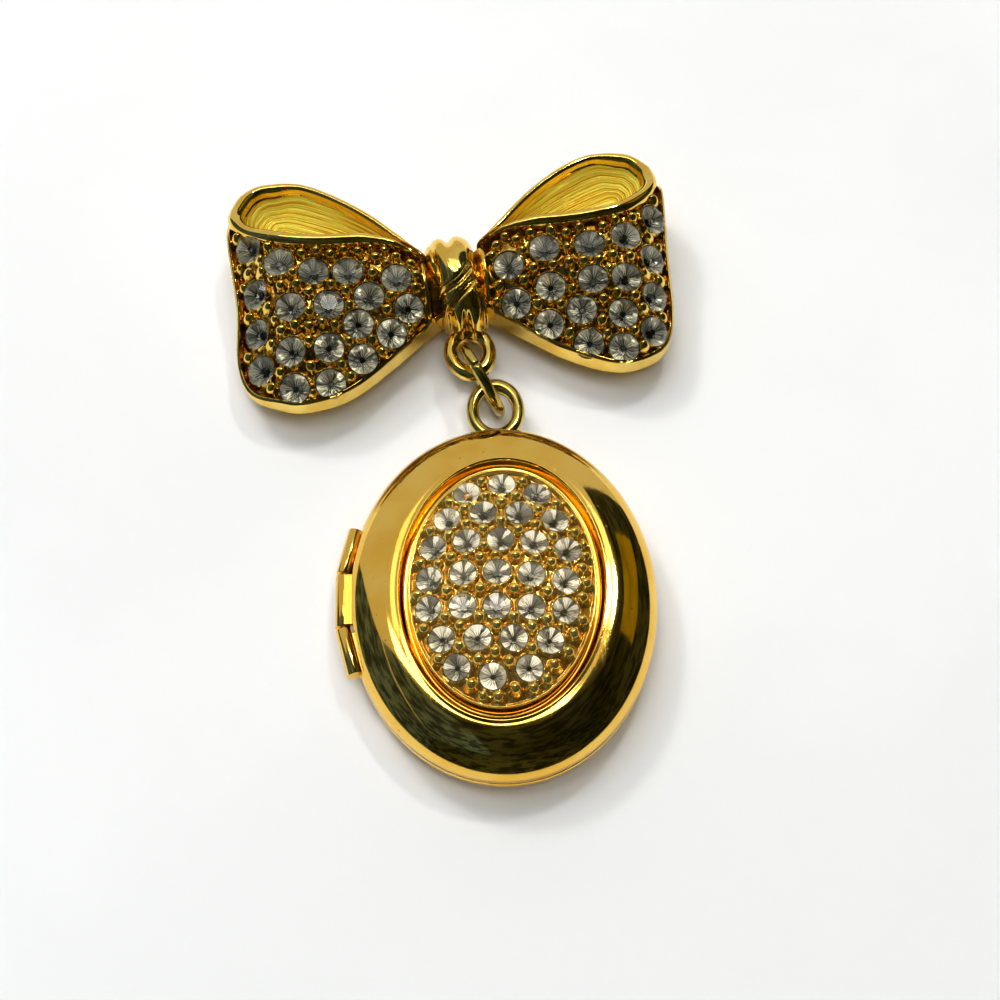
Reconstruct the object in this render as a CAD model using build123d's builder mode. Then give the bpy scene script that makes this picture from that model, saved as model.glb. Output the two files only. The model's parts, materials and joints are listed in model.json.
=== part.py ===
"""Bow brooch with an oval hinged locket, lying front up. Millimetres, +Z up.

The origin is the centre of the flat on the locket's back, on the table.
+Y runs along the locket to the bow, and the hinge is on the -X side.
"""
from build123d import *
from collections import namedtuple
from math import cos, degrees, radians, sin, tan
import os

# Locket
locket_width = 26.0  # across the rims, X
locket_length = 33.0  # along the rims, Y
back_height = 3.0  # table to the parting line
rim_height = 0.5  # straight band of each half at the parting line
parting_gap = 0.1  # air between the closed halves
crest_height = 3.0  # cover, from its rim's lower edge to the crest round the seat
side_wall = 0.8  # stock left in the rims
plate_wall = 0.5  # stock left in the back and under the seat
back_flat = 0.62  # share of the back's width that lies flat on the table

# Seat in the cover and the plaque that sits in it
seat_width = 17.2
seat_length = 24.3
seat_depth = 0.8
seat_draft = 0.35  # how far the seat's wall slopes in
crest_land = 0.25  # level crest round the seat
plaque_turn = -3.0  # degrees, the stamped seat is a little off the locket's axis
plaque_width = 15.7
plaque_length = 22.3
plaque_edge = 0.65  # height of the plaque's own rim
plaque_rise = 1.35  # how far the plaque domes above its rim
plaque_rim = 0.45  # width of the plaque's rim
rim_recess = 0.15  # how far the stone field lies below the plaque's rim
seating_gap = 0.05  # between a piece and what carries it

# Hinge on the left of the locket
knuckle_diameter = 1.3
hinge_outset = 0.4  # hinge axis outside the locket's edge
hinge_middle = 0.2  # hinge centre along Y
middle_knuckle = 4.9
outer_knuckle = 4.2
knuckle_gap = 0.15
knuckle_tilt = 13.7  # degrees, the outer knuckles follow the oval
pin_diameter = 0.6
pin_clearance = 0.05
pin_reach = 1.2  # how far the pin goes into each outer knuckle
notch_clearance = 0.15
strap_thickness = 0.45
strap_bite = 0.35  # how far a strap is soldered into its rim

# Bail ring soldered to the locket's back half
bail_width = 5.2
bail_length = 6.4
bail_wire = 1.1
bail_sink = 0.35  # how far the ring is let into the rim

# Jump ring through the bail and the bow's hanging loop
jump_diameter = 7.4
jump_wire = 1.0
jump_split = 0.12
jump_x, jump_y, jump_z = -1.13, 21.85, 3.75
jump_normal = (0.883, 0.4095, 0.235)
split_angle = 96.0  # degrees round the ring from its level line

# Bow
bow_x, bow_y = -3.25, 30.95
bow_turn = 6.2  # degrees, against the locket
bow_back = 3.0  # height of the bow's flat back above the table
loop_reach = 20.5  # knot centre to the end of a loop
loop_half = 12.5  # half of a loop's height across
loop_rise = 4.6  # bow's back to the loop's crest
lip_rise = 0.4  # polished lip above the stone field
border_rise = 0.25  # polished border above the stone field
border_width = 0.55
dish_floor = 1.5  # floor of the loop's mouth above the bow's back
dish_depth = loop_rise - dish_floor

# Hanging loop cast with the bow
hang_x, hang_y = 0.44, -6.3
hang_width = 4.7
hang_length = 5.6
hang_wire = 1.25
hang_height = 0.85  # centre of its wire above the bow's back

# Stones
bow_stone = 2.8
plaque_stone = 2.3
stone_sides = 12
table_share = 0.58
crown_share = 0.17
girdle_share = 0.05
pavilion_share = 0.36
culet_share = 0.12
stone_clearance = 0.07
stone_lift = 0.08  # girdle above the metal round it

# Pin back
bar_length = 27.0
bar_width = 3.0
bar_thickness = 0.8
post_width = 2.4  # hinge block and catch, along the bar
stem_diameter = 0.8
stem_height = 0.95  # stem's centre above the table
pin_back_rise = 0.3  # bar's centre line above the knot's centre, along the bow's own Y

# Tables. Lengths are shares of loop_reach across and of loop_half up
Section = namedtuple("Section", "out low lip back low_rise lip_rise back_rise bulge")
Point = namedtuple("Point", "out up")

right_sections = (
    Section(0.00, -0.22, 0.10, 0.22, 0.16, 0.50, 0.46, 0.12),
    Section(0.15, -0.33, 0.20, 0.39, 0.20, 0.84, 0.68, 0.18),
    Section(0.35, -0.56, 0.33, 0.72, 0.22, 0.96, 0.70, 0.22),
    Section(0.58, -0.81, 0.35, 0.99, 0.22, 1.00, 0.68, 0.24),
    Section(0.82, -0.80, 0.43, 1.06, 0.20, 1.00, 0.66, 0.16),
    Section(0.94, -0.66, 0.55, 0.98, 0.11, 0.88, 0.62, -0.05),
    Section(1.05, -0.55, 0.66, 0.92, 0.00, 0.64, 0.56, -0.15),
)
left_sections = (
    Section(0.00, -0.20, 0.04, 0.16, 0.16, 0.50, 0.46, 0.12),
    Section(0.15, -0.37, 0.14, 0.34, 0.20, 0.84, 0.68, 0.18),
    Section(0.35, -0.63, 0.31, 0.73, 0.22, 0.96, 0.70, 0.22),
    Section(0.58, -0.84, 0.43, 1.03, 0.22, 1.00, 0.68, 0.24),
    Section(0.82, -0.83, 0.60, 1.11, 0.20, 1.00, 0.66, 0.16),
    Section(0.94, -0.72, 0.80, 1.04, 0.11, 0.88, 0.62, -0.05),
    Section(1.05, -0.60, 0.88, 1.00, 0.00, 0.64, 0.56, -0.15),
)
right_outline = (
    Point(0.00, 0.18), Point(0.14, 0.33), Point(0.40, 0.74), Point(0.63, 0.98), Point(0.82, 1.01),
    Point(0.93, 0.92), Point(1.00, 0.66), Point(0.97, 0.07), Point(0.95, -0.36), Point(0.90, -0.62),
    Point(0.80, -0.75), Point(0.64, -0.77), Point(0.43, -0.60), Point(0.15, -0.24), Point(0.00, -0.14),
)
left_outline = (
    Point(0.00, 0.08), Point(0.13, 0.26), Point(0.35, 0.68), Point(0.60, 1.00), Point(0.80, 1.07),
    Point(0.92, 0.97), Point(0.99, 0.70), Point(0.98, 0.07), Point(1.00, -0.34), Point(0.96, -0.62),
    Point(0.84, -0.76), Point(0.70, -0.81), Point(0.48, -0.71), Point(0.13, -0.28), Point(0.00, -0.14),
)
right_lip_line = (
    Point(0.05, 0.13), Point(0.16, 0.18), Point(0.31, 0.27), Point(0.59, 0.30), Point(0.73, 0.32),
    Point(0.85, 0.38), Point(0.93, 0.46), Point(1.00, 0.62),
)
left_lip_line = (
    Point(0.05, 0.01), Point(0.13, 0.06), Point(0.24, 0.17), Point(0.49, 0.35), Point(0.62, 0.39),
    Point(0.75, 0.47), Point(0.88, 0.64), Point(0.99, 0.90),
)
lip_close = (Point(1.3, 1.3), Point(-0.1, 1.3))
right_mouth = (
    Point(0.15, 0.27), Point(0.37, 0.64), Point(0.55, 0.86), Point(0.70, 0.94), Point(0.84, 0.92),
    Point(0.92, 0.80), Point(0.92, 0.64), Point(0.82, 0.47), Point(0.62, 0.39), Point(0.38, 0.36),
)
left_mouth = (
    Point(0.15, 0.17), Point(0.34, 0.58), Point(0.50, 0.83), Point(0.66, 0.97), Point(0.80, 1.00),
    Point(0.89, 0.92), Point(0.90, 0.78), Point(0.80, 0.59), Point(0.61, 0.47), Point(0.37, 0.38),
)
right_mouth_middle = Point(0.66, 0.66)
left_mouth_middle = Point(0.66, 0.72)
right_stone_rows = (
    (Point(0.24, 0.05), Point(0.41, 0.15), Point(0.61, 0.13), Point(0.78, 0.17), Point(0.93, 0.35)),
    (Point(0.25, -0.23), Point(0.41, -0.16), Point(0.60, -0.16), Point(0.75, -0.17), Point(0.89, 0.01)),
    (Point(0.38, -0.42), Point(0.53, -0.37), Point(0.71, -0.44), Point(0.87, -0.29)),
    (Point(0.54, -0.61), Point(0.69, -0.68), Point(0.84, -0.56)),
)
left_stone_rows = (
    (Point(0.26, 0.04), Point(0.47, 0.14), Point(0.62, 0.16), Point(0.77, 0.28), Point(0.90, 0.48)),
    (Point(0.22, -0.19), Point(0.39, -0.08), Point(0.57, -0.12), Point(0.74, -0.10), Point(0.89, 0.10)),
    (Point(0.31, -0.36), Point(0.45, -0.28), Point(0.59, -0.44), Point(0.76, -0.43), Point(0.90, -0.20)),
    (Point(0.45, -0.53), Point(0.60, -0.69), Point(0.76, -0.69), Point(0.90, -0.48)),
)

# Rows of the plaque's stones, from the bow end: shares of the plaque's half width and half length
Row = namedtuple("Row", "up left right count arch")
plaque_rows = (
    Row(0.77, -0.41, 0.35, 3, 0.08),
    Row(0.53, -0.61, 0.55, 4, 0.05),
    Row(0.28, -0.75, 0.69, 5, 0.05),
    Row(0.01, -0.78, 0.67, 5, 0.04),
    Row(-0.23, -0.77, 0.67, 5, 0.00),
    Row(-0.48, -0.62, 0.51, 4, 0.00),
    Row(-0.70, -0.45, 0.30, 3, -0.07),
)

# Ovals of the cover and of the back: shares of the way in from the rim and of the way up
Ring = namedtuple("Ring", "inward up")
cover_rings = (Ring(0.0, 0.0), Ring(0.12, 0.42), Ring(0.34, 0.72), Ring(0.66, 0.93), Ring(1.0, 1.0))
back_rings = (Ring(0.0, 0.0), Ring(0.16, 0.40), Ring(0.45, 0.74), Ring(1.0, 1.0))
dome_rings = (Ring(0.0, 0.0), Ring(0.15, 0.34), Ring(0.38, 0.68), Ring(0.65, 0.90), Ring(0.9, 0.99))

# Knot: ovals across the bow, from its top to its bottom: shares of the knot's own sizes
knot_width = 4.2
knot_length = 10.7
knot_height = 5.8
knot_x = 0.35
Oval = namedtuple("Oval", "up wide tall side")
upper_wrap = (
    Oval(0.47, 0.46, 0.40, 0.0), Oval(0.41, 0.92, 0.76, 0.0), Oval(0.27, 0.94, 0.97, 0.0),
    Oval(0.06, 0.86, 1.0, -0.02), Oval(-0.10, 0.66, 0.84, -0.10), Oval(-0.18, 0.32, 0.44, -0.14),
)
lower_wrap = (
    Oval(0.08, 0.46, 0.50, 0.10), Oval(-0.06, 0.84, 0.86, 0.06), Oval(-0.24, 0.94, 0.90, 0.02),
    Oval(-0.41, 0.96, 0.66, 0.0), Oval(-0.51, 0.70, 0.40, 0.0),
)

# Levels and axes that follow
cover_low = back_height + parting_gap
parting = back_height + parting_gap / 2
crest = cover_low + crest_height
seat_floor = crest - seat_depth
hinge_x = -locket_width / 2 - hinge_outset
knuckle_radius = knuckle_diameter / 2
half_middle = middle_knuckle / 2
bore_radius = pin_diameter / 2 + pin_clearance
outer_start = half_middle + knuckle_gap
outer_shift = outer_knuckle * tan(radians(knuckle_tilt))
bow_plane = Plane((bow_x, bow_y, 0), x_dir=(cos(radians(bow_turn)), sin(radians(bow_turn)), 0), z_dir=(0, 0, 1))
seat_plane = Plane.XY.rotated((0, 0, plaque_turn))
square = (0, 0)
turned = (plaque_turn, plaque_turn)
turning = (0, plaque_turn)
top_end = (Align.CENTER, Align.CENTER, Align.MIN)


def bow_level(height):
    """Plane parallel to the table in the bow's own axes."""
    return bow_plane.offset(height)


def across_loop(x):
    """Plane across a loop, with the bow's Y to the right and Z up."""
    return Plane(bow_plane.from_local_coords((x, 0, 0)), x_dir=bow_plane.y_dir, z_dir=bow_plane.x_dir)


def along_bow(y):
    """Plane along the bow, with the bow's X to the right and Z up."""
    return Plane(bow_plane.from_local_coords((0, y, 0)), x_dir=bow_plane.x_dir, z_dir=-bow_plane.y_dir)


def oval_stack(rings, outer, inner, turns, start, rise):
    """A solid lofted through ovals, (width, length), that go from outer to inner while they rise.

    turns holds the degrees that the outer and the inner oval are turned by.
    """
    ovals = []
    for ring in rings:
        width = outer[0] + (inner[0] - outer[0]) * ring.inward
        length = outer[1] + (inner[1] - outer[1]) * ring.inward
        plane = Plane.XY.rotated((0, 0, turns[0] + (turns[1] - turns[0]) * ring.inward))
        with BuildSketch(plane.offset(start + rise * ring.up)) as oval:
            Ellipse(width / 2, length / 2)
        ovals.append(oval.sketch)
    with BuildPart() as stack:
        loft(sections=ovals)
    return stack.part


def oval_block(width, length, turn, low, high):
    """An upright oval block between two heights."""
    with BuildPart() as block:
        with BuildSketch(Plane.XY.rotated((0, 0, turn)).offset(low)):
            Ellipse(width / 2, length / 2)
        extrude(amount=high - low)
    return block.part


def locate(point, side):
    """A table's shares as a place in the bow's own axes; side is 1 right, -1 left."""
    return Vector(side * point.out * loop_reach, point.up * loop_half)


def closed_shape(corners, plane):
    """A smooth closed outline through the corners, given in the plane's own axes."""
    with BuildSketch(plane) as shape:
        with BuildLine():
            Spline(*corners, periodic=True)
        make_face()
    return shape.sketch


def moved_in(corners, distance, side):
    """The corners of a loop's outline, each moved square to the edge towards the inside."""
    inner = []
    for number, corner in enumerate(corners):
        along = (corners[(number + 1) % len(corners)] - corners[number - 1]).normalized()
        inner.append(corner + Vector(along.Y, -along.X) * side * distance)
    return inner


def shrunk(corners, middle, share):
    """The corners drawn in towards a middle point."""
    return [middle + (corner - middle) * share for corner in corners]


def loop_crown(sections, side, lift):
    """The loop's rounded top, lofted across the loop, raised by lift."""
    profiles = []
    for section in sections:
        low = (section.low * loop_half, bow_back + section.low_rise * loop_rise + lift)
        lip = (section.lip * loop_half, bow_back + section.lip_rise * loop_rise + lift)
        back = (section.back * loop_half, bow_back + section.back_rise * loop_rise + lift)
        middle = ((low[0] + lip[0]) / 2, (low[1] + lip[1]) / 2 + section.bulge * loop_rise)
        foot = bow_back - 2 * loop_rise
        with BuildSketch(across_loop(side * section.out * loop_reach)) as profile:
            with BuildLine():
                ThreePointArc(low, middle, lip)
                Line(lip, back)
                Line(back, (back[0], foot))
                Line((back[0], foot), (low[0], foot))
                Line((low[0], foot), low)
            make_face()
        profiles.append(profile.sketch)
    with BuildPart() as crown:
        loft(sections=profiles)
    return crown.part


def resting_places(body, spots):
    """Planes on the top of body over each spot, with Z along the surface's normal."""
    places = []
    for spot in spots:
        hits = body.find_intersection_points(Axis(Vector(spot[0], spot[1], 4 * crest), (0, 0, -1)))
        highest = max(hits, key=lambda hit: hit[0].Z)
        normal = highest[1] if highest[1].Z > 0 else highest[1] * -1
        places.append(Plane(highest[0], z_dir=normal))
    return places


def cut_stone(diameter):
    """A round stone with its girdle at the origin: table, crown facets, girdle and pavilion facets."""
    radius = diameter / 2
    girdle = girdle_share * diameter
    with BuildPart() as stone:
        with BuildSketch(Plane.XY):
            RegularPolygon(radius, stone_sides)
        extrude(amount=girdle)
        with BuildSketch(Plane.XY.offset(girdle)):
            RegularPolygon(radius, stone_sides)
        with BuildSketch(Plane.XY.offset(girdle + crown_share * diameter)):
            RegularPolygon(radius * table_share, stone_sides)
        loft(ruled=True)
        with BuildSketch(Plane.XY.offset(-pavilion_share * diameter)):
            RegularPolygon(radius * culet_share, stone_sides)
        with BuildSketch(Plane.XY):
            RegularPolygon(radius, stone_sides)
        loft(ruled=True)
    return stone.part


def loop_body(side, sections, outline, lip_line, mouth, mouth_middle):
    """One loop of the bow: stone field, polished border, lip and the dished mouth behind it."""
    low, high = bow_level(bow_back), 2 * loop_rise
    edge = [locate(point, side) for point in outline]
    rim = [locate(point, side) for point in mouth]
    middle = locate(mouth_middle, side)
    floor = bow_back + dish_floor
    with BuildSketch(low) as lip_area:
        with BuildLine():
            lower_line = Spline(*[locate(point, side) for point in lip_line])
            Polyline(lower_line @ 1, *[locate(point, side) for point in lip_close], lower_line @ 0)
        make_face()
    with BuildPart() as body:
        add(closed_shape(edge, low))
        extrude(amount=high)
        add(loop_crown(sections, side, 0), mode=Mode.INTERSECT)
    with BuildPart() as border:
        add(closed_shape(edge, low))
        extrude(amount=high)
        add(closed_shape(moved_in(edge, border_width, side), low))
        extrude(amount=high, mode=Mode.SUBTRACT)
        add(loop_crown(sections, side, border_rise), mode=Mode.INTERSECT)
    with BuildPart() as lip:
        add(closed_shape(edge, low))
        extrude(amount=high)
        add(extrude(lip_area.sketch, amount=high, mode=Mode.PRIVATE), mode=Mode.INTERSECT)
        add(loop_crown(sections, side, lip_rise), mode=Mode.INTERSECT)
    bowl = (closed_shape(shrunk(rim, middle, 0.55), bow_level(floor)),
            closed_shape(shrunk(rim, middle, 0.88), bow_level(floor + dish_depth / 3)),
            closed_shape(rim, bow_level(floor + 2 * dish_depth)))
    with BuildPart() as dish:
        loft(sections=bowl)
    with BuildPart() as loop:
        add(body.part)
        add(border.part)
        add(lip.part)
        add(dish.part, mode=Mode.SUBTRACT)
    return loop.part


def wrap_body(ovals):
    """A plump fold of the knot, lofted through upright ovals from its top to its bottom."""
    sections = []
    for oval in ovals:
        with BuildSketch(along_bow(oval.up * knot_length)) as section:
            with Locations((knot_x + oval.side * knot_width, bow_back + knot_height / 2)):
                Ellipse(oval.wide * knot_width / 2, oval.tall * knot_height / 2)
        sections.append(section.sketch)
    with BuildPart() as wrap:
        loft(sections=sections)
    return wrap.part


def oval_ring(plane, width, length, wire):
    """A closed oval ring of round wire, width by length over all, in the given plane."""
    half_width, half_length = (width - wire) / 2, (length - wire) / 2
    with BuildPart() as ring:
        for start in (0, 180):
            with BuildLine(plane) as path:
                EllipticalCenterArc((0, 0), half_width, half_length, start_angle=start, arc_size=180)
            with BuildSketch(Plane(path.line @ 0, z_dir=path.line % 0)):
                Circle(wire / 2)
            sweep(path=path.line)
    return ring.part


def seat_cut(diameter, depth, places):
    """Round blind seats for the stones, one at each place."""
    with BuildPart() as seats:
        with Locations(*[place.offset(-depth) for place in places]):
            Cylinder(diameter / 2 + stone_clearance, depth + bow_stone, align=top_end)
    return seats.part


def bow_spots(rows, side):
    """Places of a loop's stones over the table, in the part's own axes."""
    spots = []
    for row in rows:
        for point in row:
            spots.append(bow_plane.from_local_coords(locate(point, side)))
    return [(spot.X, spot.Y) for spot in spots]


def across_hinge(y):
    """Plane across the hinge axis, y away from the hinge's middle, facing the bow."""
    return Plane((hinge_x, hinge_middle + y, parting), x_dir=(1, 0, 0), z_dir=(0, 1, 0))


def notch_area(level):
    """Plan of the notch in a rim: it clears every knuckle as the lid turns about the pin."""
    far_y = outer_start + outer_knuckle + notch_clearance
    near_x = hinge_x + knuckle_radius + notch_clearance
    far_x = near_x + outer_shift
    open_x = hinge_x - 2 * knuckle_radius
    with BuildSketch(Plane((0, hinge_middle, level))) as area:
        with BuildLine():
            Polyline((open_x, far_y), (far_x, far_y), (near_x, outer_start), (near_x, -outer_start),
                     (far_x, -far_y), (open_x, -far_y), close=True)
        make_face()
    return area.sketch


def knuckle_strap(corners, low):
    """Flat strap between a knuckle and its half's rim, over a plan with the given corners."""
    with BuildPart() as strap:
        with BuildSketch(Plane((0, hinge_middle, low))):
            with BuildLine():
                Polyline(*corners, close=True)
            make_face()
        extrude(amount=strap_thickness)
    return strap.part


def outer_knuckle_body(side):
    """An outer knuckle, tilted along the oval, with its strap; side is 1 at the bow end, -1 at the other."""
    start_y, end_y = side * outer_start, side * (outer_start + outer_knuckle)
    end = Vector(hinge_x + outer_shift, hinge_middle + end_y, parting)
    axis = Vector(outer_shift, end_y - start_y, 0).normalized()
    reach = outer_knuckle / cos(radians(knuckle_tilt))
    bite = knuckle_radius + notch_clearance + strap_bite
    corners = ((hinge_x, start_y), (hinge_x + outer_shift, end_y), (hinge_x + outer_shift + bite, end_y),
               (hinge_x + bite, start_y))
    with BuildPart() as knuckle:
        with BuildSketch(Plane(end, z_dir=axis * -1)):
            Circle(knuckle_radius)
        extrude(amount=reach + knuckle_diameter)
        add(knuckle_strap(corners, parting - knuckle_radius))
        with Locations((hinge_x, hinge_middle, parting)):
            Box(3 * knuckle_diameter, 2 * outer_start, 2 * knuckle_diameter, mode=Mode.SUBTRACT)
        with BuildSketch(across_hinge(0)):
            Circle(bore_radius)
        extrude(amount=side * (outer_start + pin_reach + pin_clearance), mode=Mode.SUBTRACT)
        with BuildSketch(Plane(end, z_dir=axis * -1)):
            Circle(bore_radius)
        extrude(amount=pin_reach, mode=Mode.SUBTRACT)
    return knuckle.part


os.makedirs("parts", exist_ok=True)

# Bow: two loops, the knot and the hanging loop are one casting
bow_depth = pavilion_share * bow_stone + stone_clearance - stone_lift
right_loop = loop_body(1, right_sections, right_outline, right_lip_line, right_mouth, right_mouth_middle)
left_loop = loop_body(-1, left_sections, left_outline, left_lip_line, left_mouth, left_mouth_middle)
right_places = resting_places(loop_crown(right_sections, 1, 0), bow_spots(right_stone_rows, 1))
left_places = resting_places(loop_crown(left_sections, -1, 0), bow_spots(left_stone_rows, -1))
hang_centre = bow_plane.from_local_coords((hang_x, hang_y, bow_back + hang_height))
hang_plane = Plane(hang_centre, x_dir=bow_plane.x_dir, z_dir=(0, 0, 1))
with BuildPart() as bow:
    add(right_loop)
    add(left_loop)
    add(wrap_body(upper_wrap))
    add(wrap_body(lower_wrap))
    add(oval_ring(hang_plane, hang_width, hang_length, hang_wire))
    add(seat_cut(bow_stone, bow_depth, right_places), mode=Mode.SUBTRACT)
    add(seat_cut(bow_stone, bow_depth, left_places), mode=Mode.SUBTRACT)
bow.part.label = "bow"
export_step(bow.part, "parts/bow.step")

bow_chaton = cut_stone(bow_stone)
with BuildPart() as right_stones:
    with Locations(*[place.offset(stone_lift) for place in right_places]):
        add(bow_chaton)
right_stones.part.label = "right_stones"
export_step(right_stones.part, "parts/right_stones.step")

with BuildPart() as left_stones:
    with Locations(*[place.offset(stone_lift) for place in left_places]):
        add(bow_chaton)
left_stones.part.label = "left_stones"
export_step(left_stones.part, "parts/left_stones.step")

# Pin back: bar on the bow's back, hinge block, stem and catch in one plain piece
bar_top = bow_back - seating_gap
bar_low = bar_top - bar_thickness
post_centre = bar_length / 2 - post_width / 2 - bar_width / 4
slot_height = stem_diameter + 2 * pin_clearance
tip_length = 2.5 * stem_diameter
stem_length = 2 * post_centre + post_width
with BuildPart() as pin_back:
    with BuildSketch(bow_level(bar_low)):
        with Locations((0, pin_back_rise)):
            SlotOverall(bar_length, bar_width)
    extrude(amount=bar_thickness)
    with BuildSketch(bow_level(0)):
        with Locations((-post_centre, pin_back_rise), (post_centre, pin_back_rise)):
            RectangleRounded(post_width, bar_width, post_width / 4)
    extrude(amount=bar_low)
    with BuildSketch(across_loop(-post_centre - post_width / 2)):
        with Locations((pin_back_rise - slot_height / 2, stem_height)):
            Rectangle(bar_width, slot_height, align=(Align.MIN, Align.CENTER))
    extrude(amount=post_width, mode=Mode.SUBTRACT)
    with BuildSketch(across_loop(post_centre)):
        with Locations((pin_back_rise, stem_height)):
            Circle(stem_diameter / 2)
    extrude(amount=-stem_length + tip_length)
    with BuildSketch(across_loop(post_centre - stem_length + tip_length)) as stem_end:
        with Locations((pin_back_rise, stem_height)):
            Circle(stem_diameter / 2)
    with BuildSketch(across_loop(post_centre - stem_length)) as stem_tip:
        with Locations((pin_back_rise, stem_height)):
            Circle(stem_diameter / 8)
    loft(sections=[stem_end.sketch, stem_tip.sketch])
pin_back.part.label = "pin_back"
export_step(pin_back.part, "parts/pin_back.step")

# Jump ring: bent wire with a fine split at the top
level = Vector(-jump_normal[1], jump_normal[0], 0)
jump_plane = Plane((jump_x, jump_y, jump_z), x_dir=level, z_dir=jump_normal)
split_size = degrees(jump_split / ((jump_diameter - jump_wire) / 2))
with BuildPart() as jump_ring:
    with BuildLine(jump_plane) as jump_path:
        CenterArc((0, 0), (jump_diameter - jump_wire) / 2, split_angle + split_size / 2, 360 - split_size)
    with BuildSketch(Plane(jump_path.line @ 0, z_dir=jump_path.line % 0)):
        Circle(jump_wire / 2)
    sweep(path=jump_path.line)
jump_ring.part.label = "jump_ring"
export_step(jump_ring.part, "parts/jump_ring.step")

# Locket back: shallow shell, flat on the table, with the bail ring and two hinge knuckles soldered on
rims = (locket_width, locket_length)
inner_rims = (locket_width - 2 * side_wall, locket_length - 2 * side_wall)
step_in = (1 - back_flat) * locket_width
flat_oval = (locket_width - step_in, locket_length - step_in)
back_shoulder = back_height - rim_height
bail_plane = Plane((0, (locket_length + bail_length) / 2 - bail_sink, back_height - bail_wire / 2))
with BuildPart() as locket_back:
    add(oval_block(*rims, 0, back_shoulder, back_height))
    add(oval_stack(back_rings, rims, flat_oval, square, back_shoulder, -back_shoulder))
    add(oval_block(*inner_rims, 0, back_shoulder, cover_low), mode=Mode.SUBTRACT)
    add(oval_stack(back_rings, inner_rims, flat_oval, square, back_shoulder, plate_wall - back_shoulder),
        mode=Mode.SUBTRACT)
    add(extrude(notch_area(0), amount=cover_low, mode=Mode.PRIVATE), mode=Mode.SUBTRACT)
    add(oval_ring(bail_plane, bail_width, bail_length, bail_wire))
    add(outer_knuckle_body(1))
    add(outer_knuckle_body(-1))
locket_back.part.label = "locket_back"
export_step(locket_back.part, "parts/locket_back.step")

# Hinge pin: plain wire through the three knuckles
with BuildPart() as hinge_pin:
    with BuildSketch(across_hinge(-outer_start - pin_reach)):
        Circle(pin_diameter / 2)
    extrude(amount=2 * (outer_start + pin_reach))
hinge_pin.part.label = "hinge_pin"
export_step(hinge_pin.part, "parts/hinge_pin.step")

# Locket front: domed shell with the sunk seat for the plaque and the middle knuckle
dome_low = cover_low + rim_height
seat_mouth = (seat_width, seat_length)
crest_oval = (seat_width + 2 * crest_land, seat_length + 2 * crest_land)
seat_bottom = (seat_width - 2 * seat_draft, seat_length - 2 * seat_draft)
seat_back = (seat_width + 2 * plate_wall, seat_length + 2 * plate_wall)
straight = (Ring(0.0, 0.0), Ring(1.0, 1.0))
with BuildPart() as hollow:
    add(oval_stack(cover_rings, inner_rims, seat_back, turning, dome_low, crest - dome_low - plate_wall))
    add(oval_block(*seat_back, plaque_turn, seat_floor - plate_wall, crest), mode=Mode.SUBTRACT)
strap_end = hinge_x + knuckle_radius + notch_clearance + strap_bite
strap_corners = ((hinge_x, -half_middle), (strap_end, -half_middle), (strap_end, half_middle), (hinge_x, half_middle))
with BuildPart() as locket_front:
    add(oval_block(*rims, 0, cover_low, dome_low))
    add(oval_stack(cover_rings, rims, crest_oval, turning, dome_low, crest - dome_low))
    add(oval_block(*inner_rims, 0, cover_low, dome_low), mode=Mode.SUBTRACT)
    add(hollow.part, mode=Mode.SUBTRACT)
    add(oval_stack(straight, seat_mouth, seat_bottom, turned, crest, -seat_depth), mode=Mode.SUBTRACT)
    add(extrude(notch_area(cover_low), amount=crest_height, mode=Mode.PRIVATE), mode=Mode.SUBTRACT)
    with BuildSketch(across_hinge(-half_middle)):
        Circle(knuckle_radius)
    extrude(amount=middle_knuckle)
    add(knuckle_strap(strap_corners, parting + knuckle_radius - strap_thickness))
    with BuildSketch(across_hinge(-half_middle)):
        Circle(bore_radius)
    extrude(amount=middle_knuckle, mode=Mode.SUBTRACT)
locket_front.part.label = "locket_front"
export_step(locket_front.part, "parts/locket_front.step")

# Plaque: cast oval dome with its own fine rim, sitting on the seat's floor
plaque_oval = (plaque_width, plaque_length)
plaque_low = seat_floor + seating_gap
rim_top = plaque_low + plaque_edge
field_oval = (plaque_oval[0] - 2 * plaque_rim, plaque_oval[1] - 2 * plaque_rim)
field_low = rim_top - rim_recess
dome = oval_stack(dome_rings, field_oval, (0, 0), turned, field_low, plaque_rise)
plaque_spots = []
for row in plaque_rows:
    for place in range(row.count):
        along = place / (row.count - 1)
        bend = row.arch * (1 - (2 * along - 1) ** 2)
        x = (row.left + (row.right - row.left) * along) * plaque_oval[0] / 2
        y = (row.up + bend) * plaque_oval[1] / 2
        spot = seat_plane.from_local_coords((x, y, 0))
        plaque_spots.append((spot.X, spot.Y))
plaque_places = resting_places(dome, plaque_spots)
plaque_depth = pavilion_share * plaque_stone + stone_clearance - stone_lift
with BuildPart() as plaque:
    add(oval_block(*plaque_oval, plaque_turn, plaque_low, rim_top))
    add(oval_block(*field_oval, plaque_turn, field_low, rim_top), mode=Mode.SUBTRACT)
    add(dome)
    add(seat_cut(plaque_stone, plaque_depth, plaque_places), mode=Mode.SUBTRACT)
plaque.part.label = "plaque"
export_step(plaque.part, "parts/plaque.step")

plaque_chaton = cut_stone(plaque_stone)
with BuildPart() as plaque_stones:
    with Locations(*[place.offset(stone_lift) for place in plaque_places]):
        add(plaque_chaton)
plaque_stones.part.label = "plaque_stones"
export_step(plaque_stones.part, "parts/plaque_stones.step")
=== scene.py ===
"""Locket brooch: a cast bow set with clear stones, and an oval hinged locket on a jump ring."""

import json
from math import cos, pi, radians, sin, tau

import bmesh
import bpy
import numpy as np
from mathutils import Matrix, Vector


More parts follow.
